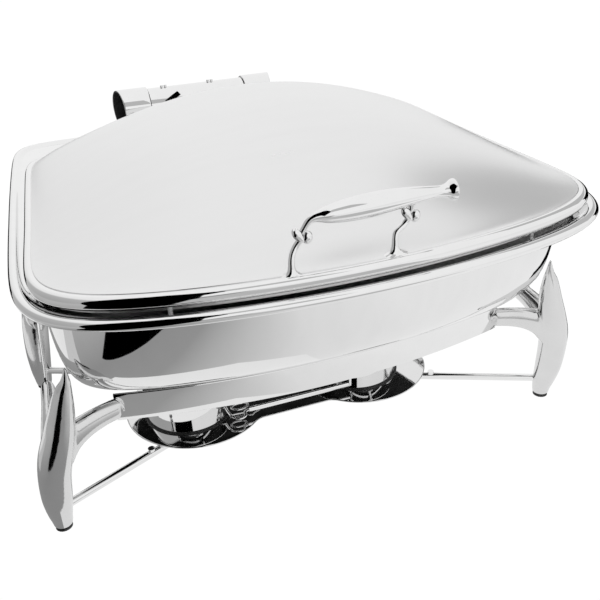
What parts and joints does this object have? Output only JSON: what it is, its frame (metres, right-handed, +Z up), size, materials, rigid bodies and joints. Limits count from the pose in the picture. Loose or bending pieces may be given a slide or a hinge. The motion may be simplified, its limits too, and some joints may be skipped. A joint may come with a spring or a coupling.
{
  "type": "chafing dish food warmer",
  "caption": "Oblong polished steel chafing dish with a hinged domed lid and curved legs, over a tray with gel fuel burners.",
  "frame": {"origin": "on the floor, in the middle between the legs", "axes": "+Z up, +X to the right of someone who stands at the handle side, -Y towards that person, +Y towards the hinge"},
  "size_m": [0.627, 0.578, 0.383],
  "materials": {
    "polished_steel": "polished",
    "satin_steel": "satin",
    "dark_steel": "dark, oiled",
    "tin": "satin",
    "black_rubber": "matt",
    "black_plastic": "matt",
    "white_plastic": "matt"
  },
  "bodies": {
    "pan": {"water_pan": "polished_steel", "deck_plate": "satin_steel", "food_pan": "satin_steel", "lid_bumpers": "white_plastic", "hinge_bracket": "satin_steel", "hinge_barrel": "polished_steel", "barrel_screws": "polished_steel", "hinge_springs": "dark_steel", "damper_cartridge": "black_plastic"},
    "lid_assembly": {"lid": "polished_steel", "handle_grip": "polished_steel", "handle_post_left": "polished_steel", "handle_post_right": "polished_steel", "handle_knuckles": "polished_steel", "handle_nuts": "polished_steel", "hinge_collar_left": "polished_steel", "hinge_collar_right": "polished_steel", "hinge_arm_left": "polished_steel", "hinge_arm_right": "polished_steel", "hinge_shaft": "polished_steel", "arm_bolts": "polished_steel"},
    "stand": {"leg_front_left": "polished_steel", "leg_front_right": "polished_steel", "leg_rear_left": "polished_steel", "leg_rear_right": "polished_steel", "foot_pads": "black_rubber", "front_band": "polished_steel", "rear_band": "polished_steel", "left_band": "polished_steel", "right_band": "polished_steel", "stretcher_rods": "polished_steel", "rod_hub": "polished_steel", "rod_bolts": "polished_steel", "pan_supports": "polished_steel", "fuel_tray": "polished_steel"},
    "burner_left": {"fuel_holder_left": "polished_steel", "fuel_can_left": "tin", "snuffer_pin_left": "polished_steel"},
    "cover_left": {"snuffer_left": "polished_steel", "snuffer_handle_left": "polished_steel"},
    "burner_right": {"fuel_holder_right": "polished_steel", "fuel_can_right": "tin", "snuffer_pin_right": "polished_steel"},
    "cover_right": {"snuffer_right": "polished_steel", "snuffer_handle_right": "polished_steel"}
  },
  "joints": [
    {"name": "pan_lift", "type": "slide", "parent": "stand", "child": "pan", "axis": [0, 0, 1], "range_m": [0, 0.12]},
    {"name": "lid_hinge", "type": "hinge", "parent": "pan", "child": "lid_assembly", "pos_m": [-0.022, 0.2625, 0.327], "axis": [-1, 0, 0], "range_deg": [0, 90]},
    {"name": "burner_left_lift", "type": "slide", "parent": "stand", "child": "burner_left", "axis": [0, 0, 1], "range_m": [0, 0.03]},
    {"name": "cover_left_swing", "type": "hinge", "parent": "burner_left", "child": "cover_left", "pos_m": [-0.134, 0.028, 0.07], "axis": [0, 0, -1], "range_deg": [0, 100]},
    {"name": "burner_right_lift", "type": "slide", "parent": "stand", "child": "burner_right", "axis": [0, 0, 1], "range_m": [0, 0.03]},
    {"name": "cover_right_swing", "type": "hinge", "parent": "burner_right", "child": "cover_right", "pos_m": [0.088, 0.028, 0.07], "axis": [0, 0, 1], "range_deg": [0, 100]}
  ]
}
